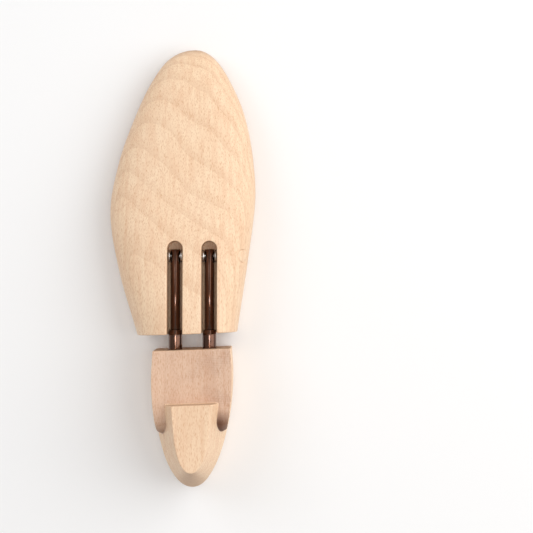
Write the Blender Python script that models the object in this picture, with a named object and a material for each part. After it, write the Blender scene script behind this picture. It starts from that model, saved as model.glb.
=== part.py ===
"""Twin-tube shoe tree for a left shoe, as one assembly of separate pieces.

Frame: +Y points to the toe, +X to the inner (medial) side of the foot, +Z up. The origin is at the
bottom centre of the whole tree, which stands on the flat soles of its forepart and its heel block.
Driving sizes are in millimetres, and mesh coordinates in metres.
"""

import math

import bmesh
import bpy
from mathutils import Matrix, Vector

MM = 0.001
GAP = 0.3  # clearance between pieces that touch on the real tree
OVERSHOOT = 5.0  # how far a cutter passes the face that it cuts

# Overall layout
FOREPART_LENGTH = 185.0
MIDDLE_GAP = 10.0
HEEL_LENGTH = 90.0
TOE_Y = (FOREPART_LENGTH + MIDDLE_GAP + HEEL_LENGTH) / 2
REAR_Y = TOE_Y - FOREPART_LENGTH  # rear face of the forepart
FRONT_Y = REAR_Y - MIDDLE_GAP  # front face of the heel block
AXIS_X = 6.8  # the tubes and the heel block sit inside of the ball's centre line
SKEW = 0.035  # the cross-cut faces slant: their inner side lies further towards the toe
TUBE_Z = 35.0
TUBE_SPACING = 22.0
SIDES = {"left": AXIS_X - TUBE_SPACING / 2, "right": AXIS_X + TUBE_SPACING / 2}

# Heel block
LEDGE_Z = 52.0
HANDLE_Z = 66.0
STEP = 34.5  # from the front face to the handle's front step
HANDLE_END = 77.5  # from the front face to the back of the handle's flat top
HANDLE_HALF = 12.6
WALL_SLOPE = 3.2  # drop of the handle's wall for each millimetre outwards
CREASE = 45.5  # where the ledge starts to fall beside the handle
HORN_ROUND = (18.9, 48.0, 5.2)  # the horn's round end: centre |x|, centre distance, radius
HORN_FALL = [(0.5, 2.4), (0.85, 6.5), (1.0, 13.0)]  # share of the way to the horn's tip, drop
CARVE_HALF = 26.5  # just wider than the block
CARVE_STEPS = 32
UNDER_HANDLE = 1.0  # the ledge runs this far behind the crease under the handle
SOLE_EDGE = [(0, 2.0), (0.7, 0.8), (2.4, 0.0)]  # height, inset of the sole's soft edge

# Tubes, rods and springs
SEGMENTS = 24
LOCK_SEGMENTS = 12
TUBE_OUT = 4.5
TUBE_IN = 3.85
MOUTH_IN = 3.45
MOUTH_SHAPE = [(0, MOUTH_IN), (0, 3.9), (0.4, 4.1), (1.2, 4.2), (3.2, TUBE_OUT)]  # behind it, radius
MOUTH_THROAT = [(3.0, TUBE_IN), (1.0, MOUTH_IN)]
TUBE_FRONT = 2.5  # mouth of the outer tube, ahead of the forepart's rear face
TUBE_BACK = -73.0
BORE_RELIEF = 0.5  # air behind the tube in its blind bore
ROD_R = 3.15
ROD_NOSE = 4.2  # square front end of the rod, ahead of the pin
SPIGOT_R = 2.5
COLLAR_OUT = 3.55
COLLAR_FRONT = -11.3
COLLAR_LENGTH = 3.0
PLUG_FRONT = -66.0
PLUG_R = 3.5
LOCK_Y = -69.5
LOCK_R = 1.0
LOCK_LOW = 1.0
LOCK_TOP = TUBE_Z + 2.0
WIRE_R = 0.45
COIL_R = 3.05
COIL_TURNS = 12

# Hinge in the forepart
PIN_AHEAD = 50.0  # from the rear face to the hinge pin
PIN_Y = REAR_Y + PIN_AHEAD
PIN_R = 1.5
SLOT_WIDTH = 10.0
SLOT_CLEAR = 0.4
SLOT_FLOOR = TUBE_Z - TUBE_OUT - SLOT_CLEAR
SLOT_SHOULDER = 4.6  # straight walls reach this far ahead of the pin, then the round end
WASHER_R = 4.0
WASHER_THICK = 1.1
WASHER_PLAY = 0.25  # between a rod's side and its washers
PIN_BLIND = 12.0  # wood around the pin beyond the lateral slot
DOWEL_R = 4.0
OUTSIDE_X = 60.0  # beyond the forepart's inner side

# Forepart outline, as (distance from the toe, position), smooth in the root of the distance
INNER_EDGE = [(0, 8), (6, 20.8), (20, 30.4), (45, 40.8), (75, 46.2), (98, 47.3), (135, 43),
              (FOREPART_LENGTH, 35.6)]
OUTER_EDGE = [(0, 8), (6, -8.8), (20, -19.8), (45, -31.8), (75, -42.2), (106, -47.3), (145, -41),
              (FOREPART_LENGTH, -29.2)]
CROWN = [(0, 13), (4, 20.4), (14, 25.6), (45, 31.5), (90, 38), (125, 44.4), (155, 48.8),
         (FOREPART_LENGTH, LEDGE_Z)]
SOLE = [(0, 13), (4, 6.8), (14, 3.6), (45, 0.6), (70, 0), (FOREPART_LENGTH, 0)]
RIDGE_X = [(0, 8), (45, 9), (100, 10), (FOREPART_LENGTH, 7)]
WIDEST = 0.42  # height of the widest line, as a share of the section's height
TOP_POWER = 2 / 2.7
SIDE_POWER = 2 / 4.2
SOLE_FLATNESS = 1.05
RING_POINTS = 40
TOE_RINGS = 12
BODY_RINGS = 20
TOE_ZONE = 45.0

# Heel block outline, as (distance from the back, half width), smooth in the root of the distance
HEEL_EDGE = [(0, 0), (3.5, 7.4), (10, 12.2), (20, 17.2), (32, 21), (44, 23.6), (56, 25.2), (73, 25.9),
             (HEEL_LENGTH, 25)]
HANDLE_EDGE = [(0, 0), (3, 5), (9, 8), (20, 10.5), (43, HANDLE_HALF)]
EDGE_POINTS = 18


def smooth_curve(knots):
    """Return a smooth function through the knots, even in the root of the distance."""
    xs = [math.sqrt(k[0]) for k in knots]
    ys = [k[1] for k in knots]
    steps = [(ys[i + 1] - ys[i]) / (xs[i + 1] - xs[i]) for i in range(len(xs) - 1)]
    slopes = [steps[0]] + [(a + b) / 2 for a, b in zip(steps, steps[1:])] + [steps[-1]]

    def value(distance):
        x = math.sqrt(max(distance, 0))
        i = max(j for j in range(len(xs) - 1) if xs[j] <= x or j == 0)
        h = xs[i + 1] - xs[i]
        t = min((x - xs[i]) / h, 1.0)
        a = (1 + 2 * t) * (1 - t) ** 2 * ys[i] + t * (1 - t) ** 2 * h * slopes[i]
        b = t * t * (3 - 2 * t) * ys[i + 1] - t * t * (1 - t) * h * slopes[i + 1]
        return a + b

    return value


inner_edge = smooth_curve(INNER_EDGE)
outer_edge = smooth_curve(OUTER_EDGE)
crown = smooth_curve(CROWN)
sole = smooth_curve(SOLE)
ridge_x = smooth_curve(RIDGE_X)
heel_edge = smooth_curve(HEEL_EDGE)
handle_edge = smooth_curve(HANDLE_EDGE)


def clear_scene():
    for old in list(bpy.data.objects):
        bpy.data.objects.remove(old, do_unlink=True)


def make_material(name, colour, roughness, metallic=0.0):
    material = bpy.data.materials.new(name)
    material.use_nodes = True
    shader = material.node_tree.nodes["Principled BSDF"]
    shader.inputs["Base Color"].default_value = (*colour, 1)
    shader.inputs["Roughness"].default_value = roughness
    shader.inputs["Metallic"].default_value = metallic
    return material


def world_place(obj):
    """World position of an object whose chain of parents is only moved, never turned."""
    place = Vector()
    while obj:
        place += obj.location
        obj = obj.parent
    return place


def add_object(name, bm, material=None, parent=None, origin=(0, 0, 0)):
    """Make an object from a mesh in millimetres, with its own origin."""
    bmesh.ops.recalc_face_normals(bm, faces=bm.faces)
    to_metres = Matrix.Scale(MM, 4) @ Matrix.Translation(-Vector(origin))
    bmesh.ops.transform(bm, matrix=to_metres, verts=bm.verts)
    mesh = bpy.data.meshes.new(name)
    bm.to_mesh(mesh)
    bm.free()
    mesh.shade_smooth()
    mesh.set_sharp_from_angle(angle=math.radians(35))
    obj = bpy.data.objects.new(name, mesh)
    bpy.context.scene.collection.objects.link(obj)
    obj.parent = parent
    obj.location = Vector(origin) * MM - world_place(parent)
    if material:
        mesh.materials.append(material)
    return obj


def add_cutter(name, bm):
    cutter = add_object(name, bm)
    cutter.hide_render = True
    cutter.display_type = "WIRE"
    return cutter


def combine(obj, cutter, operation="DIFFERENCE"):
    modifier = obj.modifiers.new(cutter.name, "BOOLEAN")
    modifier.operation = operation
    modifier.solver = "EXACT"
    modifier.object = cutter


def loft(rings):
    """Skin a list of rings with equal point counts, and close both ends."""
    bm = bmesh.new()
    rows = [[bm.verts.new(point) for point in ring] for ring in rings]
    for row, following in zip(rows, rows[1:]):
        count = len(row)
        for i in range(count):
            j = (i + 1) % count
            bm.faces.new((row[i], row[j], following[j], following[i]))
    bm.faces.new(reversed(rows[0]))
    bm.faces.new(rows[-1])
    return bm


def turned(profile, centre_x):
    """Spin a closed profile of (y, radius) points about a tube's axis."""
    bm = bmesh.new()
    rows = []
    for step in range(SEGMENTS):
        angle = 2 * math.pi * (step + 0.5) / SEGMENTS
        c, s = math.cos(angle), math.sin(angle)
        rows.append([bm.verts.new((centre_x + r * c, y, TUBE_Z + r * s)) for y, r in profile])
    count = len(profile)
    for step in range(SEGMENTS):
        row, following = rows[step], rows[(step + 1) % SEGMENTS]
        for i in range(count):
            j = (i + 1) % count
            bm.faces.new((row[i], row[j], following[j], following[i]))
    bmesh.ops.remove_doubles(bm, verts=bm.verts, dist=1e-5)
    return bm


def round_bar(start, end, radius, segments=SEGMENTS):
    """A solid cylinder between two points."""
    start, end = Vector(start), Vector(end)
    across = end - start
    turn = across.to_track_quat("Z", "Y").to_matrix().to_4x4()
    bm = bmesh.new()
    bmesh.ops.create_cone(bm, cap_ends=True, segments=segments, radius1=radius, radius2=radius,
                          depth=across.length, matrix=Matrix.Translation((start + end) / 2) @ turn)
    return bm


def ring_about_x(x_start, x_end, outer, inner):
    """A washer about the hinge pin."""
    bm = bmesh.new()
    corners = [(x_start, inner), (x_end, inner), (x_end, outer), (x_start, outer)]
    rows = []
    for step in range(SEGMENTS):
        angle = 2 * math.pi * (step + 0.5) / SEGMENTS
        rows.append([bm.verts.new((x, PIN_Y + r * math.cos(angle), TUBE_Z + r * math.sin(angle)))
                     for x, r in corners])
    for step in range(SEGMENTS):
        row, following = rows[step], rows[(step + 1) % SEGMENTS]
        for i in range(4):
            j = (i + 1) % 4
            bm.faces.new((row[i], row[j], following[j], following[i]))
    return bm


def extrude_outline(points, z_low, z_high):
    return loft([[(x, y, z) for x, y in points] for z in (z_low, z_high)])


# Forepart -------------------------------------------------------------------------------------------

def forepart_ring(distance):
    """One cross-section of the forepart: a flat sole, full sides and a domed top."""
    x_in, x_out, x_mid = inner_edge(distance), outer_edge(distance), ridge_x(distance)
    top, bottom = crown(distance), max(sole(distance), 0)
    wide = bottom + WIDEST * (top - bottom)
    ring = []
    for k in range(RING_POINTS):
        angle = 2 * math.pi * k / RING_POINTS
        c, s = math.cos(angle), math.sin(angle)
        upper = s >= 0
        power = TOP_POWER if upper else SIDE_POWER
        reach = (x_in if c >= 0 else x_out) - x_mid
        x = x_mid + reach * abs(c) ** power
        if upper:
            z = wide + (top - wide) * s ** power
        else:
            z = max(bottom, wide - SOLE_FLATNESS * (wide - bottom) * abs(s) ** power)
        slant = SKEW * (x - AXIS_X) * (distance / FOREPART_LENGTH) ** 2
        ring.append((x, TOE_Y - distance + slant, z))
    return ring


def forepart_solid():
    near_toe = [0.1 + TOE_ZONE * (1 - math.cos(math.pi / 2 * k / TOE_RINGS)) for k in range(TOE_RINGS)]
    rest = [TOE_ZONE + (FOREPART_LENGTH - TOE_ZONE) * k / BODY_RINGS for k in range(BODY_RINGS + 1)]
    return loft([forepart_ring(distance) for distance in near_toe + rest])


def slot_outline(centre_x):
    """Plan of a slot: open at the rear face, with a round front end."""
    half = SLOT_WIDTH / 2
    start_y = PIN_Y + SLOT_SHOULDER
    points = [(centre_x - half, REAR_Y - OVERSHOOT), (centre_x + half, REAR_Y - OVERSHOOT)]
    for k in range(9):
        angle = math.pi * k / 8
        points.append((centre_x + half * math.cos(angle), start_y + half * math.sin(angle)))
    return points


def build_forepart(wood):
    body = add_object("forepart", forepart_solid(), wood)
    for side, x in SIDES.items():
        slot = extrude_outline(slot_outline(x), SLOT_FLOOR, LEDGE_Z + OVERSHOOT)
        combine(body, add_cutter(f"slot_cut_{side}", slot))
    blind_x = SIDES["left"] - SLOT_WIDTH / 2 - PIN_BLIND
    pin_end = SIDES["right"] + SLOT_WIDTH / 2 + PIN_BLIND / 2
    bore = round_bar((blind_x, PIN_Y, TUBE_Z), (pin_end + OVERSHOOT, PIN_Y, TUBE_Z), PIN_R + GAP)
    combine(body, add_cutter("pin_bore_cut", bore))
    pocket = round_bar((pin_end + GAP, PIN_Y, TUBE_Z), (OUTSIDE_X, PIN_Y, TUBE_Z), DOWEL_R + GAP)
    combine(body, add_cutter("dowel_cut", pocket))
    return blind_x, pin_end


def build_hinge(steel, wood, blind_x, pin_end):
    """The cross pin, its wooden dowel sanded flush, and a washer on each side of each rod."""
    pin = round_bar((blind_x + GAP, PIN_Y, TUBE_Z), (pin_end, PIN_Y, TUBE_Z), PIN_R)
    add_object("hinge_pin", pin, steel, origin=(AXIS_X, PIN_Y, TUBE_Z))
    dowel_start = pin_end + 2 * GAP
    dowel_blank = round_bar((dowel_start, PIN_Y, TUBE_Z), (OUTSIDE_X, PIN_Y, TUBE_Z), DOWEL_R)
    dowel = add_object("pin_dowel", dowel_blank, wood)
    combine(dowel, add_cutter("dowel_trim", forepart_solid()), "INTERSECT")
    inside = ROD_R + WASHER_PLAY
    for side, x in SIDES.items():
        outwards = -1 if side == "left" else 1
        for place, direction in (("outer", outwards), ("inner", -outwards)):
            near = x + direction * inside
            far = near + direction * WASHER_THICK
            washer = ring_about_x(min(near, far), max(near, far), WASHER_R, PIN_R + GAP)
            add_object(f"hinge_washer_{side}_{place}", washer, steel, origin=(x, PIN_Y, TUBE_Z))


# Rods, tubes and springs ----------------------------------------------------------------------------

def build_rod(side, x, metal, parent):
    """A solid rod, cross-drilled for the pin, with a spigot for its stop collar."""
    collar_front = REAR_Y + COLLAR_FRONT
    tail = collar_front - COLLAR_LENGTH - GAP
    profile = [(PIN_Y + ROD_NOSE, 0), (PIN_Y + ROD_NOSE, ROD_R), (collar_front + GAP, ROD_R),
               (collar_front + GAP, SPIGOT_R), (tail, SPIGOT_R), (tail, 0)]
    rod = add_object(f"rod_{side}", turned(profile, x), metal, parent, origin=(x, PIN_Y, TUBE_Z))
    hole = round_bar((x - OVERSHOOT, PIN_Y, TUBE_Z), (x + OVERSHOOT, PIN_Y, TUBE_Z), PIN_R + GAP)
    combine(rod, add_cutter(f"rod_hole_cut_{side}", hole))


def build_collar(side, x, metal, parent):
    front = REAR_Y + COLLAR_FRONT
    inner = SPIGOT_R + GAP
    profile = [(front, inner), (front, COLLAR_OUT), (front - COLLAR_LENGTH, COLLAR_OUT),
               (front - COLLAR_LENGTH, inner)]
    add_object(f"stop_collar_{side}", turned(profile, x), metal, parent, origin=(x, PIN_Y, TUBE_Z))


def build_tube(side, x, metal, parent):
    """A thin outer tube whose mouth is drawn in, so that the stop collar can't leave it."""
    mouth = REAR_Y + TUBE_FRONT
    back = REAR_Y + TUBE_BACK
    profile = [(mouth - behind, radius) for behind, radius in MOUTH_SHAPE]
    profile += [(back, TUBE_OUT), (back, TUBE_IN)]
    profile += [(mouth - behind, radius) for behind, radius in MOUTH_THROAT]
    tube = add_object(f"outer_tube_{side}", turned(profile, x), metal, parent)
    combine(tube, add_cutter(f"tube_hole_cut_{side}", lock_bore(x)))


def lock_bore(x):
    """The drilled way of a lock pin, from below the block into the end plug."""
    y = REAR_Y + LOCK_Y
    return round_bar((x, y, -OVERSHOOT), (x, y, LOCK_TOP + GAP), LOCK_R + GAP, LOCK_SEGMENTS)


def build_end_plug(side, x, steel, parent):
    front, back = REAR_Y + PLUG_FRONT, REAR_Y + TUBE_BACK
    profile = [(front, 0), (front, PLUG_R), (back, PLUG_R), (back, 0)]
    plug = add_object(f"tube_end_plug_{side}", turned(profile, x), steel, parent)
    combine(plug, add_cutter(f"plug_hole_cut_{side}", lock_bore(x)))


def build_lock_pin(side, x, steel, parent):
    y = REAR_Y + LOCK_Y
    pin = round_bar((x, y, LOCK_LOW), (x, y, LOCK_TOP), LOCK_R, LOCK_SEGMENTS)
    add_object(f"lock_pin_{side}", pin, steel, parent)


def build_spring(side, x, steel, parent):
    """A compression spring of round wire, from the stop collar to the end plug."""
    front = REAR_Y + COLLAR_FRONT - COLLAR_LENGTH - 2 * GAP - WIRE_R
    back = REAR_Y + PLUG_FRONT + GAP + WIRE_R
    steps, corners = 11 * COIL_TURNS, 5
    rings = []
    for step in range(steps + 1):
        part = step / steps
        angle = 2 * math.pi * COIL_TURNS * part
        out = Vector((math.cos(angle), 0, math.sin(angle)))
        centre = Vector((x, front + (back - front) * part, TUBE_Z)) + COIL_R * out
        spokes = [2 * math.pi * k / corners for k in range(corners)]
        along = Vector((0, 1, 0))
        rings.append([centre + WIRE_R * (math.cos(a) * out + math.sin(a) * along) for a in spokes])
    add_object(f"spring_{side}", loft(rings), steel, parent)


# Heel block -----------------------------------------------------------------------------------------

def tapering_outline(half_width, length, front_y, offset=0.0):
    """Plan from the inner front corner round the back to the outer one, moved outwards by offset."""
    distances = [length * math.cos(math.pi / 2 * k / EDGE_POINTS) ** 2 for k in range(EDGE_POINTS + 1)]
    side = [Vector((half_width(d), front_y - (length - d))) for d in distances]
    points = side + [Vector((-p.x, p.y)) for p in reversed(side[:-1])]
    moved = []
    for i, point in enumerate(points):
        along = points[min(i + 1, len(points) - 1)] - points[max(i - 1, 0)]
        normal = Vector((-along.y, along.x)).normalized()
        shifted = point + offset * normal
        if i in (0, len(points) - 1):
            shifted.y = front_y
        moved.append((AXIS_X + shifted.x, shifted.y + SKEW * shifted.x))
    return moved


def heel_body():
    """The block's full outline with a softly rounded sole edge."""
    rings = []
    for z, inset in SOLE_EDGE + [(HANDLE_Z + OVERSHOOT, 0.0)]:
        rings.append([(x, y, z) for x, y in tapering_outline(heel_edge, HEEL_LENGTH, FRONT_Y, -inset)])
    return loft(rings)


def handle_body():
    """The raised handle: a flat bullet-shaped top, walls that flare down, and a square front step."""
    length = HANDLE_END - STEP
    front = FRONT_Y - STEP
    rings = []
    for z in (-OVERSHOOT, HANDLE_Z):
        flare = (HANDLE_Z - z) / WALL_SLOPE
        rings.append([(x, y, z) for x, y in tapering_outline(handle_edge, length, front, flare)])
    return loft(rings)


def front_body():
    """Everything under the ledge, with a round, steeply falling end on each side of the handle."""
    centre, start, radius = HORN_ROUND
    rings = []
    for k in range(CARVE_STEPS + 1):
        x = CARVE_HALF * (2 * k / CARVE_STEPS - 1)
        aside = min(abs(abs(x) - centre), radius * 0.999)
        tip = CREASE + UNDER_HANDLE
        if abs(x) > centre - radius:
            tip = start + math.sqrt(radius ** 2 - aside ** 2)
        profile = [(-OVERSHOOT, -OVERSHOOT), (-OVERSHOOT, LEDGE_Z), (CREASE, LEDGE_Z)]
        profile += [(CREASE + share * (tip - CREASE), LEDGE_Z - drop) for share, drop in HORN_FALL]
        profile.append((tip, -OVERSHOOT))
        rings.append([(AXIS_X + x, FRONT_Y - s + SKEW * x, z) for s, z in profile])
    return loft(rings)


def build_heel_block(wood, parent):
    """Heel block and handle, carved from one piece of beech."""
    block = add_object("heel_block", heel_body(), wood, parent)
    carving = add_cutter("ledge_and_handle", front_body())
    combine(carving, add_cutter("handle_solid", handle_body()), "UNION")
    combine(block, carving, "INTERSECT")
    for side, x in SIDES.items():
        bore_end = REAR_Y + TUBE_BACK - BORE_RELIEF
        bore = round_bar((x, FRONT_Y + OVERSHOOT, TUBE_Z), (x, bore_end, TUBE_Z), TUBE_OUT + GAP)
        combine(block, add_cutter(f"tube_bore_cut_{side}", bore))
        combine(block, add_cutter(f"lock_bore_cut_{side}", lock_bore(x)))


def add_empty(name, place, parent=None):
    empty = bpy.data.objects.new(name, None)
    bpy.context.scene.collection.objects.link(empty)
    empty.parent = parent
    empty.location = Vector(place) * MM - world_place(parent)
    return empty


def main():
    clear_scene()
    beech = make_material("beech", (0.84, 0.6, 0.41), 0.5)
    bronze = make_material("bronze_tube", (0.165, 0.07, 0.037), 0.15, 1.0)
    steel = make_material("steel", (0.55, 0.54, 0.52), 0.32, 1.0)
    hinge = add_empty("rod_hinge", (AXIS_X, PIN_Y, TUBE_Z))
    slide = add_empty("heel_slide", (AXIS_X, FRONT_Y, TUBE_Z), hinge)
    blind_x, pin_end = build_forepart(beech)
    build_hinge(steel, beech, blind_x, pin_end)
    build_heel_block(beech, slide)
    for side, x in SIDES.items():
        build_rod(side, x, bronze, hinge)
        build_collar(side, x, bronze, hinge)
        build_tube(side, x, bronze, slide)
        build_end_plug(side, x, steel, slide)
        build_lock_pin(side, x, steel, slide)
        build_spring(side, x, steel, slide)


main()
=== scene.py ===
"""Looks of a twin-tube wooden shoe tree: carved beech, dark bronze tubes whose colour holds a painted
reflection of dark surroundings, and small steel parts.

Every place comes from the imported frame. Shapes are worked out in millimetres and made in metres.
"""

import math

import bmesh
import bpy
from mathutils import Matrix, Vector


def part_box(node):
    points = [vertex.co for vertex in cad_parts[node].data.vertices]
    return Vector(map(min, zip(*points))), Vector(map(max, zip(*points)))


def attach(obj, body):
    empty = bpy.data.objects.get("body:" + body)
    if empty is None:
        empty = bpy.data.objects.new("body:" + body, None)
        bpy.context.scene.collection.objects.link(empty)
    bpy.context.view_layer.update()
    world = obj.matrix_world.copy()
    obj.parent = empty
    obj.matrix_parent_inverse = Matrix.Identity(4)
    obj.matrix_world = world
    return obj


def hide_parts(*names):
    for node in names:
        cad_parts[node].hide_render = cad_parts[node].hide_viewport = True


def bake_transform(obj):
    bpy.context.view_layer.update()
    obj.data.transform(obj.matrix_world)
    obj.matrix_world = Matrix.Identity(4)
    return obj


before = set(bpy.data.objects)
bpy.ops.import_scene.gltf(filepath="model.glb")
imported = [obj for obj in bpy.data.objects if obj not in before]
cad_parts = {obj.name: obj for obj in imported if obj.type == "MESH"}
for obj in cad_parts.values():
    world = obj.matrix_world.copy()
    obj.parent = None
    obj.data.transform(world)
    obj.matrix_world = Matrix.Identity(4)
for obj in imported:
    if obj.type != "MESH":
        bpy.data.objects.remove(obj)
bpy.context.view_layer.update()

MM = 0.001


def box_mm(node):
    low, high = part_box(node)
    return Vector(low) / MM, Vector(high) / MM


def middle(node):
    low, high = box_mm(node)
    return (low + high) / 2


# Places read from the frame -------------------------------------------------------------------------
SIDES = ("left", "right")
TUBES = {side: middle(f"outer_tube_{side}") for side in SIDES}
AXIS_X = (TUBES["left"].x + TUBES["right"].x) / 2
TUBE_Z = TUBES["left"].z
PIN_Y = middle("hinge_pin").y
HANDLE_Z = box_mm("heel_block")[1].z

# Shape of the blocks, as the solids have it ---------------------------------------------------------
FORE_LENGTH = 185.0
HEEL_LENGTH = 90.0
HINGE_AHEAD = 50.0
MIDDLE_GAP = 10.0
REAR_Y = PIN_Y - HINGE_AHEAD
FRONT_Y = REAR_Y - MIDDLE_GAP
TOE_Y = REAR_Y + FORE_LENGTH
SKEW = 0.035  # slant of the cross-cut faces, as a slope
LEDGE_Z = 52.0
STEP = 34.5  # from the heel block's front to its handle
HANDLE_END = 77.5
HANDLE_HALF = 12.6
WALL_SLOPE = 3.2  # fall for each millimetre that the handle's wall flares out
CREASE = 45.5  # where the ledge starts to fall, behind the block's front
HORN_ROUND = (18.9, 48.0, 5.2)  # round end of the ledge: distance aside, distance behind, radius
HORN_FALL = 13
HORN_STEPS = 8
CARVE_HALF = 26.5
CARVE_STEPS = 130
SLOT_WIDTH = 10.0
SLOT_FLOOR = TUBE_Z - 4.9
SLOT_SHOULDER = 4.6
SLOT_END_STEPS = 24
BORE_R = 4.65
NAIL_HOLE_R = 1.2
GAP = 0.3
PIN_R = 1.5
DOWEL_R = 4.0
DOWEL_PLAY = 0.08
OUTSIDE_X = 60
OVERSHOOT = 5  # how far a cutter passes the face that it cuts

# Metal pieces
TUBE_OUT = 4.5
TUBE_IN = 3.85
MOUTH_IN = 3.45
ROD_R = 3.15
SPIGOT_R = 2.5
COLLAR_OUT = 3.55
PLUG_R = 3.5
LOCK_R = 1.0
LOCK_TOP = TUBE_Z + 2.3
WASHER_R = 4.0
WIRE_R = 0.45
COIL_R = 3.05
COIL_TURNS = 12
COIL_STEPS = 40
WIRE_CORNERS = 10

# (distance from the toe, position)
INNER_EDGE = [(0, 8), (6, 20.8), (20, 30.4), (45, 40.8), (75, 46.2), (98, 47.3), (135, 43),
              (185, 35.6)]
OUTER_EDGE = [(0, 8), (6, -8.8), (20, -19.8), (45, -31.8), (75, -42.2), (106, -47.3), (145, -41),
              (185, -29.2)]
CROWN = [(0, 13), (4, 20.4), (14, 25.6), (45, 31.5), (90, 38), (125, 44.4), (155, 48.8), (185, 52)]
SOLE = [(0, 13), (4, 6.8), (14, 3.6), (45, 0.6), (70, 0), (185, 0)]
RIDGE_X = [(0, 8), (45, 9), (100, 10), (185, 7)]
# (distance from the back, half width)
HEEL_EDGE = [(0, 0), (3.5, 7.4), (10, 12.2), (20, 17.2), (32, 21), (44, 23.6), (56, 25.2), (73, 25.9),
             (90, 25)]
HANDLE_EDGE = [(0, 0), (3, 5), (9, 8), (20, 10.5), (43, HANDLE_HALF)]
# (height, how far the heel block's outline draws in) at the edge of its sole
SOLE_EDGE = ((0, 2.0), (0.3, 1.2), (0.9, 0.5), (1.8, 0.12), (2.6, 0.0))
# (distance behind the mouth, radius) of a tube
MOUTH_SHAPE = ((0.0, 3.62), (0.06, 3.84), (0.25, 3.99), (0.6, 4.09), (1.1, 4.16), (1.7, 4.26),
               (2.4, 4.4), (3.1, 4.48), (3.8, TUBE_OUT))


def smooth_curve(knots):
    """A smooth function through the knots, worked out over the root of the distance.

    That root makes the curve start steeply, which rounds the toe and the back of the heel.
    """
    xs = [math.sqrt(k[0]) for k in knots]
    ys = [k[1] for k in knots]
    steps = [(ys[i + 1] - ys[i]) / (xs[i + 1] - xs[i]) for i in range(len(xs) - 1)]
    slopes = [steps[0]] + [(a + b) / 2 for a, b in zip(steps, steps[1:])] + [steps[-1]]

    def value(distance):
        x = math.sqrt(max(distance, 0))
        i = max(j for j in range(len(xs) - 1) if xs[j] <= x or j == 0)
        h = xs[i + 1] - xs[i]
        t = min((x - xs[i]) / h, 1.0)
        a = (1 + 2 * t) * (1 - t) ** 2 * ys[i] + t * (1 - t) ** 2 * h * slopes[i]
        b = t * t * (3 - 2 * t) * ys[i + 1] - t * t * (1 - t) * h * slopes[i + 1]
        return a + b

    return value


inner_edge = smooth_curve(INNER_EDGE)
outer_edge = smooth_curve(OUTER_EDGE)
crown = smooth_curve(CROWN)
sole = smooth_curve(SOLE)
ridge_x = smooth_curve(RIDGE_X)
heel_edge = smooth_curve(HEEL_EDGE)
handle_edge = smooth_curve(HANDLE_EDGE)


# Mesh tools -----------------------------------------------------------------------------------------

def new_object(name, bm):
    """An object from a mesh in millimetres, at the origin, so that its places are in its mesh."""
    bmesh.ops.recalc_face_normals(bm, faces=bm.faces)
    bmesh.ops.scale(bm, vec=(MM, MM, MM), verts=bm.verts)
    mesh = bpy.data.meshes.new(name)
    bm.to_mesh(mesh)
    bm.free()
    mesh.shade_smooth()
    obj = bpy.data.objects.new(name, mesh)
    bpy.context.scene.collection.objects.link(obj)
    return obj


def loft(rings):
    """Join rings of points, with as many points each, into one closed mesh."""
    bm = bmesh.new()
    rows = [[bm.verts.new(point) for point in ring] for ring in rings]
    count = len(rows[0])
    for row, following in zip(rows, rows[1:]):
        for i in range(count):
            j = (i + 1) % count
            bm.faces.new((row[i], row[j], following[j], following[i]))
    bm.faces.new(reversed(rows[0]))
    bm.faces.new(rows[-1])
    return bm


def round_bar(start, end, radius, segments=64):
    """A cylinder from one point to another, to drill a hole or to cut a dowel from."""
    start, end = Vector(start), Vector(end)
    across = end - start
    turn = across.to_track_quat("Z", "Y").to_matrix().to_4x4()
    bm = bmesh.new()
    bmesh.ops.create_cone(bm, cap_ends=True, segments=segments, radius1=radius, radius2=radius,
                          depth=across.length, matrix=Matrix.Translation((start + end) / 2) @ turn)
    return bm


def turned(profile, place, axis="Y", segments=72):
    """Spin a profile of (distance along the axis, radius) points; a closed one makes a ring."""
    bm = bmesh.new()
    rows = []
    for step in range(segments):
        angle = 2 * math.pi * step / segments
        c, s = math.cos(angle), math.sin(angle)
        if axis == "Y":
            rows.append([bm.verts.new((place.x + r * c, a, place.z + r * s)) for a, r in profile])
        elif axis == "X":
            rows.append([bm.verts.new((a, place.y + r * c, place.z + r * s)) for a, r in profile])
        else:
            rows.append([bm.verts.new((place.x + r * c, place.y + r * s, a)) for a, r in profile])
    count = len(profile)
    for step in range(segments):
        row, following = rows[step], rows[(step + 1) % segments]
        for i in range(count):
            j = (i + 1) % count
            bm.faces.new((row[i], row[j], following[j], following[i]))
    bmesh.ops.remove_doubles(bm, verts=bm.verts, dist=1e-5)
    bmesh.ops.dissolve_degenerate(bm, edges=bm.edges, dist=1e-6)
    return bm


def apply_modifiers(obj):
    """Replace an object's mesh with what its modifiers make of it."""
    graph = bpy.context.evaluated_depsgraph_get()
    mesh = bpy.data.meshes.new_from_object(obj.evaluated_get(graph))
    obj.modifiers.clear()
    obj.data = mesh


def combine(obj, bm, operation="DIFFERENCE"):
    """Cut or join one mesh, then throw the cutter away."""
    cutter = new_object("cutter", bm)
    modifier = obj.modifiers.new("boolean", "BOOLEAN")
    modifier.operation = operation
    modifier.solver = "EXACT"
    modifier.object = cutter
    apply_modifiers(obj)
    bpy.data.objects.remove(cutter, do_unlink=True)


def soften(obj, voxel, passes, keep):
    """Remesh a carved block finely, round its edges and thin the mesh where it is plain."""
    remesh = obj.modifiers.new("remesh", "REMESH")
    remesh.mode = "VOXEL"
    remesh.voxel_size = voxel * MM
    smooth = obj.modifiers.new("smooth", "SMOOTH")
    smooth.factor = 0.5
    smooth.iterations = passes
    thin = obj.modifiers.new("thin", "DECIMATE")
    thin.ratio = keep
    apply_modifiers(obj)
    obj.data.shade_smooth()


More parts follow.
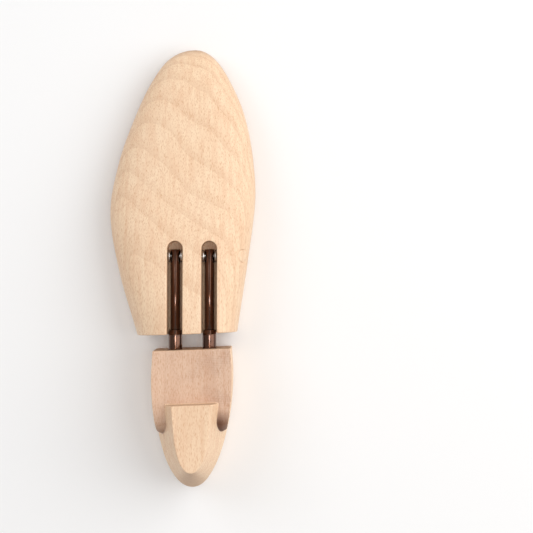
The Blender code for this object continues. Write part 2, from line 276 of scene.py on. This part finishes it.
# Forepart -------------------------------------------------------------------------------------------
RING_POINTS = 120
STATIONS = 150
TIP = 0.02
WIDEST = 0.42  # height of the widest line, as a share of the height there
TOP_POWER = 2 / 2.7
SIDE_POWER = 2 / 4.2
SOLE_FLATNESS = 1.05


def forepart_ring(distance):
    """The outline across the foot, round on top and flatter below, at a distance from the toe."""
    x_in, x_out, x_mid = inner_edge(distance), outer_edge(distance), ridge_x(distance)
    top, bottom = crown(distance), max(sole(distance), 0)
    wide = bottom + WIDEST * (top - bottom)
    ring = []
    for k in range(RING_POINTS):
        angle = 2 * math.pi * k / RING_POINTS
        c, s = math.cos(angle), math.sin(angle)
        power = TOP_POWER if s >= 0 else SIDE_POWER
        reach = (x_in if c >= 0 else x_out) - x_mid
        x = x_mid + reach * abs(c) ** power
        if s >= 0:
            z = wide + (top - wide) * s ** power
        else:
            z = max(bottom, wide - SOLE_FLATNESS * (wide - bottom) * abs(s) ** power)
        slant = SKEW * (x - AXIS_X) * (distance / FORE_LENGTH) ** 2
        ring.append((x, TOE_Y - distance + slant, z))
    return ring


def forepart_mesh():
    """Rings from the toe's tip to the rear face, closer together at the toe."""
    rings = []
    for k in range(STATIONS + 1):
        part = k / STATIONS
        rings.append(forepart_ring(TIP + (FORE_LENGTH - TIP) * (0.35 * part + 0.65 * part ** 2)))
    return loft(rings)


def slot_mesh(centre_x):
    """A slot that is open at the top and at the rear face, with a round front end."""
    half = SLOT_WIDTH / 2
    start_y = PIN_Y + SLOT_SHOULDER
    plan = [(centre_x - half, REAR_Y - OVERSHOOT), (centre_x + half, REAR_Y - OVERSHOOT)]
    for k in range(SLOT_END_STEPS + 1):
        angle = math.pi * k / SLOT_END_STEPS
        plan.append((centre_x + half * math.cos(angle), start_y + half * math.sin(angle)))
    return loft([[(x, y, z) for x, y in plan] for z in (SLOT_FLOOR, LEDGE_Z + 20)])


def make_forepart():
    """The carved forepart with its slots, its pin hole and its dowel hole."""
    fore = new_object("forepart_wood", forepart_mesh())
    for tube in TUBES.values():
        combine(fore, slot_mesh(tube.x))
    pin_low, pin_high = box_mm("hinge_pin")
    dowel_low, _ = box_mm("pin_dowel")
    pin_start = (pin_low.x - GAP, PIN_Y, TUBE_Z)
    pin_end = (pin_high.x + 1, PIN_Y, TUBE_Z)
    combine(fore, round_bar(pin_start, pin_end, PIN_R + GAP))
    dowel_start = (dowel_low.x - GAP, PIN_Y, TUBE_Z)
    combine(fore, round_bar(dowel_start, (OUTSIDE_X, PIN_Y, TUBE_Z), DOWEL_R + DOWEL_PLAY))
    soften(fore, voxel=0.5, passes=4, keep=0.35)
    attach(fore, "forepart")
    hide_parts("forepart")
    return fore


# Heel block -----------------------------------------------------------------------------------------
EDGE_POINTS = 60


def tapering_outline(half_width, length, front_y, offset=0.0):
    """An outline that is flat in front and closes at the back, moved outwards by the offset."""
    distances = [length * math.cos(math.pi / 2 * k / EDGE_POINTS) ** 2 for k in range(EDGE_POINTS + 1)]
    side = [Vector((half_width(d), front_y - (length - d))) for d in distances]
    points = side + [Vector((-p.x, p.y)) for p in reversed(side[:-1])]
    moved = []
    for i, point in enumerate(points):
        along = points[min(i + 1, len(points) - 1)] - points[max(i - 1, 0)]
        normal = Vector((-along.y, along.x)).normalized()
        shifted = point + offset * normal
        if i in (0, len(points) - 1):
            shifted.y = front_y
        moved.append((AXIS_X + shifted.x, shifted.y + SKEW * shifted.x))
    return moved


def heel_mesh():
    """The heel's outline, straight up from a sole with a rounded edge."""
    rings = []
    for z, inset in (*SOLE_EDGE, (HANDLE_Z + 4, 0.0)):
        plan = tapering_outline(heel_edge, HEEL_LENGTH, FRONT_Y, -inset)
        rings.append([(x, y, z) for x, y in plan])
    return loft(rings)


def handle_mesh():
    """The raised handle, whose walls flare out on their way down."""
    rings = []
    for z in (-2.0, HANDLE_Z):
        flare = (HANDLE_Z - z) / WALL_SLOPE
        plan = tapering_outline(handle_edge, HANDLE_END - STEP, FRONT_Y - STEP, flare)
        rings.append([(x, y, z) for x, y in plan])
    return loft(rings)


def front_mesh():
    """Everything under the ledge, with a round, steeply falling end on each side of the handle."""
    centre, start, radius = HORN_ROUND
    rings = []
    for k in range(CARVE_STEPS + 1):
        x = -CARVE_HALF + 2 * CARVE_HALF * k / CARVE_STEPS
        aside = min(abs(abs(x) - centre), radius * 0.999)
        tip = start + math.sqrt(radius ** 2 - aside ** 2) if abs(x) > centre - radius else CREASE + 1
        fall = tip - CREASE
        curve = []
        for j in range(HORN_STEPS + 1):
            angle = math.pi / 2 * j / HORN_STEPS
            curve.append((CREASE + fall * math.sin(angle), LEDGE_Z - HORN_FALL * (1 - math.cos(angle))))
        profile = [(-3, -OVERSHOOT), (-3, LEDGE_Z)] + curve + [(tip, -OVERSHOOT)]
        rings.append([(AXIS_X + x, FRONT_Y - s + SKEW * x, z) for s, z in profile])
    return loft(rings)


def make_heel_block():
    """The heel's outline, less what is carved away above the ledge, with bores and nail holes."""
    carving = new_object("carving", front_mesh())
    combine(carving, handle_mesh(), "UNION")
    block = new_object("heel_block_wood", heel_mesh())
    modifier = block.modifiers.new("carve", "BOOLEAN")
    modifier.operation = "INTERSECT"
    modifier.object = carving
    apply_modifiers(block)
    bpy.data.objects.remove(carving, do_unlink=True)
    for side, tube in TUBES.items():
        tube_low, _ = box_mm(f"outer_tube_{side}")
        pin = middle(f"lock_pin_{side}")
        bore_end = (tube.x, tube_low.y - 0.5, TUBE_Z)
        combine(block, round_bar((tube.x, FRONT_Y + OVERSHOOT, TUBE_Z), bore_end, BORE_R))
        nail_end = (pin.x, pin.y, TUBE_Z - 2)
        combine(block, round_bar((pin.x, pin.y, -OVERSHOOT), nail_end, NAIL_HOLE_R))
    soften(block, voxel=0.4, passes=6, keep=0.35)
    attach(block, "heel")
    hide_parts("heel_block")
    return block


# Tubes, rods, springs and hinge ---------------------------------------------------------------------

def finish_piece(obj, node, body):
    """Say which body carries a piece and which solid it replaces."""
    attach(obj, body)
    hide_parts(node)
    return obj


def make_tube(side):
    """Thin tube with a softly drawn-in mouth and a drilled way for its lock pin."""
    low, high = box_mm(f"outer_tube_{side}")
    mouth, back = high.y, low.y
    profile = [(mouth - behind, radius) for behind, radius in MOUTH_SHAPE]
    profile += [(back + 0.2, TUBE_OUT), (back, TUBE_OUT - 0.2), (back, TUBE_IN), (mouth - 3.0, TUBE_IN),
                (mouth - 1.2, MOUTH_IN), (mouth - 0.1, MOUTH_IN)]
    tube = new_object(f"tube_{side}", turned(profile, TUBES[side]))
    pin = middle(f"lock_pin_{side}")
    combine(tube, round_bar((pin.x, pin.y, 5), (pin.x, pin.y, LOCK_TOP), LOCK_R + GAP))
    return finish_piece(tube, f"outer_tube_{side}", "heel")


def make_rod(side):
    """Solid rod with a square nose, a cross hole for the pin and a spigot for its stop collar."""
    low, high = box_mm(f"rod_{side}")
    shoulder = box_mm(f"stop_collar_{side}")[1].y + GAP
    profile = [(high.y, 0), (high.y, ROD_R - 0.25), (high.y - 0.25, ROD_R), (shoulder + 0.15, ROD_R),
               (shoulder, ROD_R - 0.15), (shoulder, SPIGOT_R), (low.y + 0.2, SPIGOT_R),
               (low.y, SPIGOT_R - 0.2), (low.y, 0)]
    rod = new_object(f"rod_{side}_metal", turned(profile, TUBES[side]))
    x = TUBES[side].x
    hole_start = (x - OVERSHOOT, PIN_Y, TUBE_Z)
    hole_end = (x + OVERSHOOT, PIN_Y, TUBE_Z)
    combine(rod, round_bar(hole_start, hole_end, PIN_R + GAP))
    return finish_piece(rod, f"rod_{side}", "rods")


def make_collar(side):
    """The ring on a rod's spigot that keeps the rod in its tube."""
    low, high = box_mm(f"stop_collar_{side}")
    inner = SPIGOT_R + GAP
    profile = [(high.y, inner + 0.1), (high.y, COLLAR_OUT - 0.3), (high.y - 0.3, COLLAR_OUT),
               (low.y + 0.3, COLLAR_OUT), (low.y, COLLAR_OUT - 0.3), (low.y, inner + 0.1),
               (low.y + 0.1, inner), (high.y - 0.1, inner)]
    collar = new_object(f"collar_{side}", turned(profile, TUBES[side]))
    return finish_piece(collar, f"stop_collar_{side}", "rods")


def make_end_plug(side):
    """The plug at the tube's closed end, drilled for its lock pin."""
    low, high = box_mm(f"tube_end_plug_{side}")
    profile = [(high.y, 0), (high.y, PLUG_R - 0.4), (high.y - 0.4, PLUG_R), (low.y + 0.3, PLUG_R),
               (low.y, PLUG_R - 0.3), (low.y, 0)]
    plug = new_object(f"plug_{side}", turned(profile, TUBES[side]))
    pin = middle(f"lock_pin_{side}")
    combine(plug, round_bar((pin.x, pin.y, 5), (pin.x, pin.y, LOCK_TOP), LOCK_R + GAP))
    return finish_piece(plug, f"tube_end_plug_{side}", "heel")


def make_lock_pin(side):
    """A headless nail: a flat foot at the sole and a blunt point inside the end plug."""
    low, high = box_mm(f"lock_pin_{side}")
    profile = [(low.z, 0), (low.z, LOCK_R - 0.12), (low.z + 0.12, LOCK_R), (high.z - 1.6, LOCK_R),
               (high.z - 0.3, 0.4), (high.z, 0.15), (high.z, 0)]
    pin = new_object(f"nail_{side}", turned(profile, middle(f"lock_pin_{side}"), "Z", 32))
    return finish_piece(pin, f"lock_pin_{side}", "heel")


def make_spring(side):
    """Compression spring of round wire with closed ends, lying between collar and plug."""
    low, high = box_mm(f"spring_{side}")
    front, back = high.y - WIRE_R, low.y + WIRE_R
    x = TUBES[side].x
    closed = 2.1 * WIRE_R
    open_pitch = (front - back - 2 * closed) / (COIL_TURNS - 2)
    steps = COIL_STEPS * COIL_TURNS
    spokes = [2 * math.pi * k / WIRE_CORNERS for k in range(WIRE_CORNERS)]
    along = Vector((0, 1, 0))
    rings = []
    for step in range(steps + 1):
        turn = COIL_TURNS * step / steps
        into = min(turn, 1) * closed + max(min(turn - 1, COIL_TURNS - 2), 0) * open_pitch
        into += max(turn - COIL_TURNS + 1, 0) * closed
        angle = 2 * math.pi * turn
        out = Vector((math.cos(angle), 0, math.sin(angle)))
        centre = Vector((x, front - into, TUBE_Z)) + COIL_R * out
        rings.append([centre + WIRE_R * (math.cos(a) * out + math.sin(a) * along) for a in spokes])
    spring = new_object(f"coil_{side}", loft(rings))
    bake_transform(spring)
    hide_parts(f"spring_{side}")
    return spring


def make_hinge_pin():
    """The straight cross pin on which both rods tip."""
    low, high = box_mm("hinge_pin")
    profile = [(low.x, 0), (low.x, PIN_R - 0.2), (low.x + 0.2, PIN_R), (high.x - 0.2, PIN_R),
               (high.x, PIN_R - 0.2), (high.x, 0)]
    pin = new_object("cross_pin", turned(profile, middle("hinge_pin"), "X", 48))
    return finish_piece(pin, "hinge_pin", "forepart")


def make_washer(node):
    """A thin washer on the cross pin."""
    low, high = box_mm(node)
    inner = PIN_R + GAP
    profile = [(low.x, inner), (low.x, WASHER_R - 0.2), (low.x + 0.2, WASHER_R),
               (high.x - 0.2, WASHER_R), (high.x, WASHER_R - 0.2), (high.x, inner)]
    washer = new_object(node.replace("hinge_", ""), turned(profile, middle(node), "X", 48))
    return finish_piece(washer, node, "forepart")


def make_dowel():
    """A wooden dowel over the pin's end, cut flush with the forepart's side."""
    low, _ = box_mm("pin_dowel")
    bar = round_bar((low.x, PIN_Y, TUBE_Z), (OUTSIDE_X, PIN_Y, TUBE_Z), DOWEL_R)
    dowel = new_object("flush_dowel", bar)
    combine(dowel, forepart_mesh(), "INTERSECT")
    return finish_piece(dowel, "pin_dowel", "forepart")


# Beech ----------------------------------------------------------------------------------------------

class Tree:
    """A short way to write shader nodes."""

    def __init__(self, name):
        self.material = bpy.data.materials.new(name)
        self.material.use_nodes = True
        self.nodes = self.material.node_tree.nodes
        self.links = self.material.node_tree.links
        self.shader = self.nodes["Principled BSDF"]

    def put(self, socket, value):
        if isinstance(value, bpy.types.NodeSocket):
            self.links.new(value, socket)
        else:
            socket.default_value = value

    def node(self, kind, inputs=None, **settings):
        made = self.nodes.new(kind)
        for key, value in settings.items():
            setattr(made, key, value)
        for key, value in (inputs or {}).items():
            self.put(made.inputs[key], value)
        return made

    def math(self, operation, a, b=0.0, c=0.0):
        return self.node("ShaderNodeMath", {0: a, 1: b, 2: c}, operation=operation).outputs[0]

    def ramp(self, value, low, high, start=0.0, end=1.0):
        made = self.node("ShaderNodeMapRange", {"Value": value, "From Min": low, "From Max": high,
                                                "To Min": start, "To Max": end})
        made.interpolation_type = "SMOOTHSTEP"
        return made.outputs["Result"]

    def mix(self, factor, a, b, blend="MIX"):
        made = self.node("ShaderNodeMix", data_type="RGBA", blend_type=blend)
        self.put(made.inputs["Factor"], factor)
        self.put(made.inputs["A"], a)
        self.put(made.inputs["B"], b)
        return made.outputs["Result"]

    def noise(self, vector, scale, detail=3.0, roughness=0.5):
        made = self.node("ShaderNodeTexNoise", {"Vector": vector, "Scale": scale, "Detail": detail,
                                                "Roughness": roughness})
        return made.outputs["Fac"]

    def stretch(self, vector, scale, offset=(0, 0, 0)):
        made = self.node("ShaderNodeMapping", {"Vector": vector, "Scale": scale, "Location": offset})
        return made.outputs[0]


def flecks(tree, vector, length, width, share, seed):
    """Short spindles that run with the grain, as a mask from 0 to 1."""
    scaled = tree.stretch(vector, (1 / width, 1 / length, 1 / width), (seed, seed * 1.7, seed * 2.3))
    cells = tree.node("ShaderNodeTexVoronoi", {"Vector": scaled, "Scale": 1.0, "Randomness": 1.0},
                      feature="F1")
    spot = tree.ramp(cells.outputs["Distance"], 0.2, 0.46, 1.0, 0.0)
    chosen = tree.node("ShaderNodeSeparateColor", {"Color": cells.outputs["Color"]}).outputs[0]
    kept = tree.ramp(chosen, share - 0.25, share + 0.25, 1.0, 0.0)
    return tree.math("MULTIPLY", spot, kept)


# Colours of beech
PALE = (0.905, 0.680, 0.468, 1)
STREAK = (0.835, 0.570, 0.374, 1)
RING = (0.66, 0.41, 0.25, 1)
CREAM = (0.90, 0.69, 0.50, 1)
LINE_DARK = (0.70, 0.43, 0.255, 1)
LINE_LIGHT = (0.95, 0.74, 0.53, 1)
DASH = (0.60, 0.31, 0.15, 1)
END_LIGHT = (0.62, 0.41, 0.265, 1)
END_DARK = (0.50, 0.31, 0.19, 1)
END_RING = (0.44, 0.26, 0.155, 1)
# Ledge multipliers: the first is partly the milled surface's own tone and partly painted shade, the
# second is painted shade on the inner side
LEDGE_TONE_AND_SHADE = (0.87, 0.82, 0.85, 1)
INNER_SHADE = (0.82, 0.79, 0.80, 1)
CUTTER_LINE = (0.42, 0.25, 0.165, 1)
# Painted shade where the ends of the ledge fall away beside the handle
HORN_SHADE = (0.12, 0.045, 0.022, 1)
# Millimetres from one growth ring to the next, and from one cutter arc to the next
RING_WIDTH = 3.4
CUTTER_STEP = 1.5


def beech(name, seed, heel=False):
    """Steamed beech: pale pinkish cream, fine streaks, and small tan dashes along the grain."""
    tree = Tree(name)
    coords = tree.node("ShaderNodeTexCoord")
    shift = (seed * 13.0, seed * 29.0, seed * 7.0)
    place = tree.stretch(coords.outputs["Object"], (1000, 1000, 1000), shift)
    wide = tree.stretch(place, (0.02, 0.008, 0.02))
    warp = tree.node("ShaderNodeTexNoise", {"Vector": wide, "Scale": 1.0, "Detail": 2.0})
    bent = tree.node("ShaderNodeVectorMath", {0: warp.outputs["Color"], 1: (5.0, 0.0, 5.0)},
                     operation="MULTIPLY")
    grain = tree.node("ShaderNodeVectorMath", {0: place, 1: bent.outputs[0]}, operation="ADD")
    grain = grain.outputs[0]

    # growth rings: wide, faint, seen as long stripes on the sides and as arcs on the ends
    centred = tree.stretch(grain, (1, 0.0, 1), (-35.0, 0.0, 70.0))
    from_pith = tree.node("ShaderNodeVectorMath", {0: centred}, operation="LENGTH").outputs["Value"]
    ring_wave = tree.math("FRACT", tree.math("MULTIPLY", from_pith, 1 / RING_WIDTH))
    ring = tree.ramp(ring_wave, 0.5, 1.0)
    streaks = tree.noise(tree.stretch(grain, (0.42, 0.014, 0.42)), 1.0, 4.0, 0.6)
    fine = tree.noise(tree.stretch(grain, (2.6, 0.2, 2.6)), 1.0, 4.0, 0.6)
    cloud = tree.noise(tree.stretch(place, (0.035, 0.018, 0.035)), 1.0, 2.0)

    base = tree.mix(tree.ramp(streaks, 0.34, 0.7), PALE, STREAK)
    base = tree.mix(tree.math("MULTIPLY", ring, 0.3), base, RING)
    clouds = tree.math("MULTIPLY", tree.ramp(cloud, 0.4, 0.75), 0.25)
    base = tree.mix(clouds, base, CREAM)
    darker = tree.math("MULTIPLY", tree.ramp(fine, 0.46, 0.72), 0.22)
    base = tree.mix(darker, base, LINE_DARK)
    lighter = tree.math("MULTIPLY", tree.ramp(fine, 0.46, 0.3), 0.22)
    base = tree.mix(lighter, base, LINE_LIGHT)

    small = flecks(tree, grain, 2.4, 0.36, 0.7, 3.1 + seed)
    large = flecks(tree, grain, 4.2, 0.55, 0.35, 11.7 + seed)
    spots = tree.math("MAXIMUM", small, large)

    # end grain where the surface faces along the grain
    normal = tree.node("ShaderNodeSeparateXYZ", {"Vector": coords.outputs["Normal"]})
    facing = tree.math("ABSOLUTE", normal.outputs["Y"])
    end = tree.ramp(facing, 0.6, 0.99)
    spots_seen = tree.math("MULTIPLY", spots, tree.math("SUBTRACT", 1.0, end))
    base = tree.mix(tree.math("MULTIPLY", spots_seen, 0.62), base, DASH)
    dots = tree.noise(tree.stretch(place, (3.0, 0.3, 3.0)), 1.0, 2.0)
    end_tone = tree.mix(tree.ramp(dots, 0.35, 0.7), END_LIGHT, END_DARK)
    end_tone = tree.mix(tree.math("MULTIPLY", ring, 0.35), end_tone, END_RING)
    base = tree.mix(tree.math("MULTIPLY", end, 0.75), base, end_tone)

    # the heel block gets cutter marks and painted shade
    if heel:
        base = tool_marks_and_shade(tree, coords, normal, base)
    tree.put(tree.shader.inputs["Base Color"], base)

    rough = tree.ramp(streaks, 0.2, 0.8, 0.42, 0.54)
    rough = tree.math("ADD", rough, tree.math("MULTIPLY", end, 0.12))
    rough = tree.math("ADD", rough, tree.math("MULTIPLY", spots_seen, 0.08))
    tree.put(tree.shader.inputs["Roughness"], rough)
    tree.shader.inputs["Specular IOR Level"].default_value = 0.4

    height = tree.math("MULTIPLY", fine, 0.5)
    height = tree.math("SUBTRACT", height, tree.math("MULTIPLY", spots_seen, 0.5))
    height = tree.math("ADD", height, tree.math("MULTIPLY", tree.noise(place, 1.6, 2.0), 0.25))
    bump = tree.node("ShaderNodeBump", {"Height": height, "Strength": 0.25, "Distance": 0.00012})
    tree.put(tree.shader.inputs["Normal"], bump.outputs["Normal"])
    return tree.material


def band(tree, value, low, high, soft):
    """1 between low and high, fading to 0 over a soft width, all in millimetres."""
    rise = tree.ramp(value, (low - soft) * MM, low * MM)
    fall = tree.ramp(value, high * MM, (high + soft) * MM, 1.0, 0.0)
    return tree.math("MULTIPLY", rise, fall)


def tool_marks_and_shade(tree, coords, normal, base):
    """Faint cutter arcs on the planed ledge, painted shade over the ledge and its inner side, and
    painted shade where the horns' ends fall away.
    """
    place = tree.node("ShaderNodeSeparateXYZ", {"Vector": coords.outputs["Object"]})
    aside = tree.math("SUBTRACT", place.outputs["X"], AXIS_X * MM)
    depth = tree.math("SUBTRACT", tree.math("MULTIPLY_ADD", aside, SKEW), place.outputs["Y"])
    depth = tree.math("ADD", depth, FRONT_Y * MM)

    # where the wood falls away at the end of the ledge
    stop = tree.ramp(depth, (CREASE + 9.0) * MM, (CREASE + 10.0) * MM, 1.0, 0.0)
    not_wall = tree.ramp(tree.math("ABSOLUTE", normal.outputs["X"]), 0.72, 0.9, 1.0, 0.0)
    height = band(tree, place.outputs["Z"], LEDGE_Z - 20, LEDGE_Z + 0.3, 4.0)
    horn = tree.math("MULTIPLY", tree.math("MULTIPLY", stop, not_wall), height)

    # the ledge is greyer than the sanded handle, partly its milled tone and partly painted shade; its
    # inner side gets more painted shade
    level = band(tree, place.outputs["Z"], LEDGE_Z - 0.3, LEDGE_Z + 0.3, 0.4)
    ledge = tree.math("MULTIPLY", level, tree.ramp(normal.outputs["Z"], 0.85, 0.97))
    falling = tree.math("MULTIPLY", horn, tree.ramp(depth, (CREASE - 0.5) * MM, (CREASE + 1.5) * MM))
    ledge = tree.math("MAXIMUM", ledge, falling)
    inner = tree.ramp(aside, -8 * MM, 20 * MM, 0.35, 1.0)
    patches = tree.ramp(tree.noise(coords.outputs["Object"], 75.0, 3.0, 0.6), 0.36, 0.7)
    base = tree.mix(ledge, base, LEDGE_TONE_AND_SHADE, "MULTIPLY")
    inner_shade = tree.math("MULTIPLY", ledge, tree.math("MULTIPLY_ADD", patches, 0.5, 0.5))
    base = tree.mix(tree.math("MULTIPLY", inner_shade, inner), base, INNER_SHADE, "MULTIPLY")

    # cutter arcs across the ledge
    centre = ((AXIS_X + 25) * MM, (FRONT_Y + 130) * MM, LEDGE_Z * MM)
    reach = tree.node("ShaderNodeVectorMath", {0: coords.outputs["Object"], 1: centre},
                      operation="DISTANCE")
    wave = tree.math("FRACT", tree.math("MULTIPLY", reach.outputs["Value"], 1 / (CUTTER_STEP * MM)))
    groove = tree.ramp(tree.math("ABSOLUTE", tree.math("SUBTRACT", wave, 0.5)), 0.0, 0.28, 1.0, 0.0)
    uneven = tree.math("MULTIPLY", patches, inner)
    marks = tree.math("MULTIPLY", tree.math("MULTIPLY", groove, ledge), uneven)
    base = tree.mix(tree.math("MULTIPLY", marks, 0.26), base, CUTTER_LINE)

    # painted shade on the horns' falling ends: strongest by the handle's wall, and on the inner side
    start = tree.ramp(depth, (CREASE - 9.0) * MM, (CREASE + 2.0) * MM)
    near_wall = tree.ramp(tree.math("ABSOLUTE", aside), 17 * MM, 23.5 * MM, 1.0, 0.7)
    shaded_side = tree.ramp(aside, -1 * MM, 1 * MM, 0.35, 1.0)
    strength = tree.math("MULTIPLY", near_wall, shaded_side)
    horn_shade = tree.math("MULTIPLY", tree.math("MULTIPLY", start, horn), strength)
    return tree.mix(tree.math("MULTIPLY", horn_shade, 0.97), base, HORN_SHADE)


# Metal ----------------------------------------------------------------------------------------------

def metal(name, colour, dark, roughness, along="Y", lacquer=0.0):
    """Polished drawn metal: fine lines along its length and a slight, uneven tarnish."""
    tree = Tree(name)
    coords = tree.node("ShaderNodeTexCoord")
    place = tree.stretch(coords.outputs["Object"], (1000, 1000, 1000))
    lines_scale = {"Y": (3, 0.05, 3), "X": (0.05, 3, 3), "Z": (3, 3, 0.05)}[along]
    lines = tree.noise(tree.stretch(place, lines_scale), 1.0, 3.0, 0.6)
    tarnish = tree.noise(place, 0.22, 4.0, 0.62)
    tone = tree.mix(tree.ramp(tarnish, 0.42, 0.75), (*colour, 1), (*dark, 1))
    tree.put(tree.shader.inputs["Base Color"], tone)
    tree.shader.inputs["Metallic"].default_value = 1.0
    tree.shader.inputs["Coat Weight"].default_value = lacquer
    tree.shader.inputs["Coat Roughness"].default_value = 0.07
    rough = tree.math("ADD", tree.ramp(tarnish, 0.3, 0.8, roughness, roughness + 0.12),
                      tree.math("MULTIPLY", lines, 0.04))
    tree.put(tree.shader.inputs["Roughness"], rough)
    bump = tree.node("ShaderNodeBump", {"Height": lines, "Strength": 0.05, "Distance": 0.000002})
    tree.put(tree.shader.inputs["Normal"], bump.outputs["Normal"])
    return tree.material


def paint(obj, material):
    """Give an object one material."""
    obj.data.materials.clear()
    obj.data.materials.append(material)


# Build ----------------------------------------------------------------------------------------------
# dark bronze, darkened further as a painted reflection of dark brown surroundings
BRONZE_AND_REFLECTION = metal("bronze_with_painted_reflection", (0.11, 0.045, 0.024), (0.08, 0.032, 0.017), 0.12, lacquer=0.6)
STEEL = metal("steel_metal", (0.56, 0.55, 0.53), (0.38, 0.36, 0.34), 0.24)
STEEL_ACROSS = metal("steel_across", (0.56, 0.55, 0.53), (0.38, 0.36, 0.34), 0.24, "X")
STEEL_UPRIGHT = metal("steel_upright", (0.52, 0.51, 0.49), (0.34, 0.32, 0.30), 0.3, "Z")

paint(make_forepart(), beech("beech_forepart", 1.0))
paint(make_heel_block(), beech("beech_heel", 2.0, heel=True))
paint(make_dowel(), beech("beech_dowel", 5.0))
paint(make_hinge_pin(), STEEL_ACROSS)
for tube_side in SIDES:
    paint(make_tube(tube_side), BRONZE_AND_REFLECTION)
    paint(make_rod(tube_side), BRONZE_AND_REFLECTION)
    paint(make_collar(tube_side), BRONZE_AND_REFLECTION)
    paint(make_end_plug(tube_side), STEEL)
    paint(make_spring(tube_side), STEEL)
    paint(make_lock_pin(tube_side), STEEL_UPRIGHT)
    for washer_place in ("inner", "outer"):
        paint(make_washer(f"hinge_washer_{tube_side}_{washer_place}"), STEEL_ACROSS)


# Stage ----------------------------------------------------------------------------------------------

def make_floor():
    """A plain pale floor, just below the soles so that their faces don't coincide with it."""
    bm = bmesh.new()
    bmesh.ops.create_grid(bm, x_segments=1, y_segments=1, size=3000)
    floor = new_object("floor", bm)
    floor.location.z = -0.0001
    tree = Tree("floor_white")
    tree.shader.inputs["Base Color"].default_value = (0.9, 0.9, 0.9, 1)
    tree.shader.inputs["Roughness"].default_value = 0.7
    paint(floor, tree.material)


def area_light(name, place, target, size, power, colour=(1, 1, 1)):
    """A rectangular lamp that faces its target."""
    lamp = bpy.data.lights.new(name, "AREA")
    lamp.shape = "RECTANGLE"
    lamp.size, lamp.size_y = size
    lamp.energy = power
    lamp.color = colour
    obj = bpy.data.objects.new(name, lamp)
    obj.location = place
    obj.rotation_euler = (Vector(target) - Vector(place)).to_track_quat("-Z", "Y").to_euler()
    bpy.context.scene.collection.objects.link(obj)


WORLD_STRENGTH = 0.42


def make_light():
    """An even pale surrounding, a large key, a soft fill and a narrow lamp for the tubes' highlight."""
    world = bpy.data.worlds.new("studio")
    world.use_nodes = True
    world.node_tree.nodes["Background"].inputs["Color"].default_value = (1, 1, 1, 1)
    world.node_tree.nodes["Background"].inputs["Strength"].default_value = WORLD_STRENGTH
    bpy.context.scene.world = world
    area_light("key", (1.1, 0.35, 1.1), (0, -0.02, 0), (1.8, 1.8), 20, (1.0, 0.98, 0.96))
    area_light("fill", (-1.0, 0.6, 1.3), (0, 0, 0), (1.0, 1.0), 6.2, (0.98, 0.98, 1.0))
    area_light("overhead", (0.08, -0.06, 1.9), (0, -0.05, 0), (0.2, 0.5), 5)


CAMERA_HEIGHT = 1.4
CAMERA_ASIDE = 47.8
CAMERA_AHEAD = 53.2
FIELD_WIDTH = 0.3528
SENSOR_WIDTH = 36


def make_camera():
    """Straight down, with the tree left of the middle, as the left half of a pair would lie."""
    camera = bpy.data.cameras.new("camera")
    camera.sensor_width = SENSOR_WIDTH
    camera.lens = SENSOR_WIDTH * CAMERA_HEIGHT / FIELD_WIDTH
    obj = bpy.data.objects.new("camera", camera)
    obj.location = ((AXIS_X + CAMERA_ASIDE) * MM, (FRONT_Y + CAMERA_AHEAD) * MM, CAMERA_HEIGHT)
    bpy.context.scene.collection.objects.link(obj)
    bpy.context.scene.camera = obj


make_floor()
make_light()
make_camera()
bpy.context.scene.view_settings.view_transform = "Standard"
